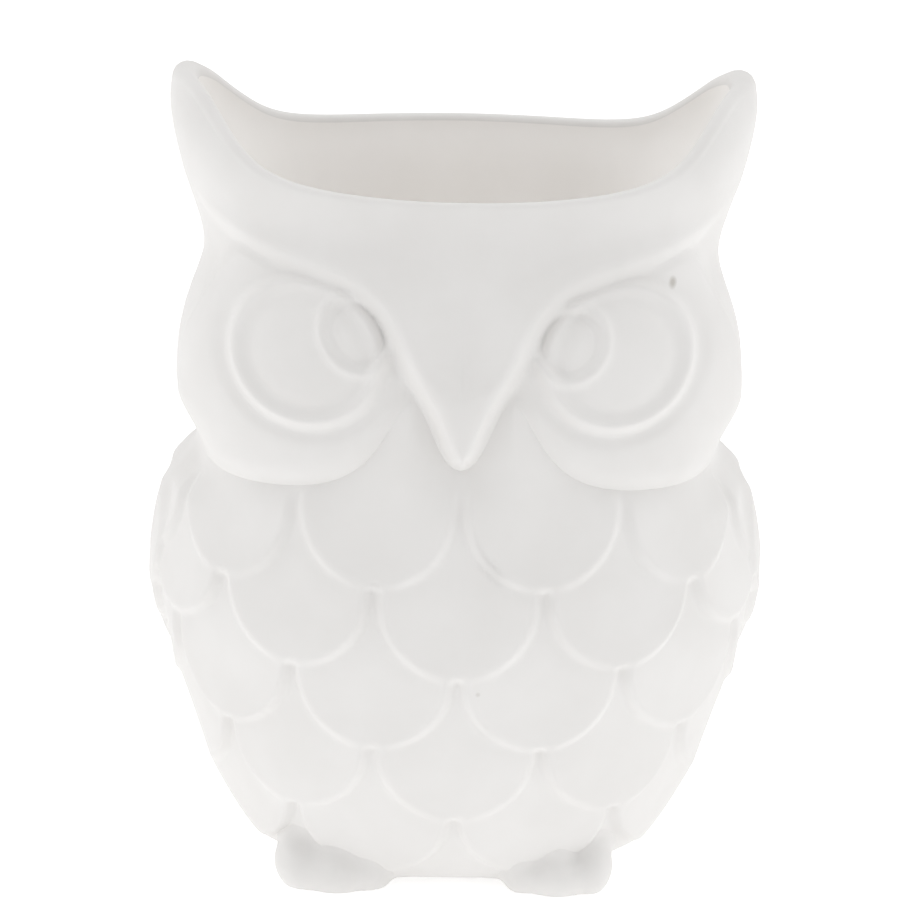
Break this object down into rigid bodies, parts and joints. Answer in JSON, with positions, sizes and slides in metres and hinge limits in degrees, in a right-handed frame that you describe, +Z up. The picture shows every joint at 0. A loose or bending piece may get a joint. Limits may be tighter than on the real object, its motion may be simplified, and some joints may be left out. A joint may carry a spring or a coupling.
{
  "type": "owl vessel figurine",
  "caption": "Standing owl figurine in matt white porcelain, hollow and open at the top, with a rim that sweeps up into ear tufts, round facial discs, folded wings and small feet.",
  "frame": {"origin": "centre of the flat base, on the surface that the owl stands on", "axes": "+Z up, the owl looks along -Y, and +X is the owl's own left side"},
  "size_m": [0.1088, 0.0933, 0.14],
  "materials": {
    "porcelain": "matt unglazed bisque"
  },
  "bodies": {
    "root": {"body_shell": "porcelain", "head_shell": "porcelain", "brow_and_beak": "porcelain", "tail": "porcelain", "left_facial_disc": "porcelain", "right_facial_disc": "porcelain", "left_eye_ring": "porcelain", "right_eye_ring": "porcelain", "left_pupil": "porcelain", "right_pupil": "porcelain", "left_wing": "porcelain", "right_wing": "porcelain", "left_foot": "porcelain", "right_foot": "porcelain"}
  },
  "joints": []
}
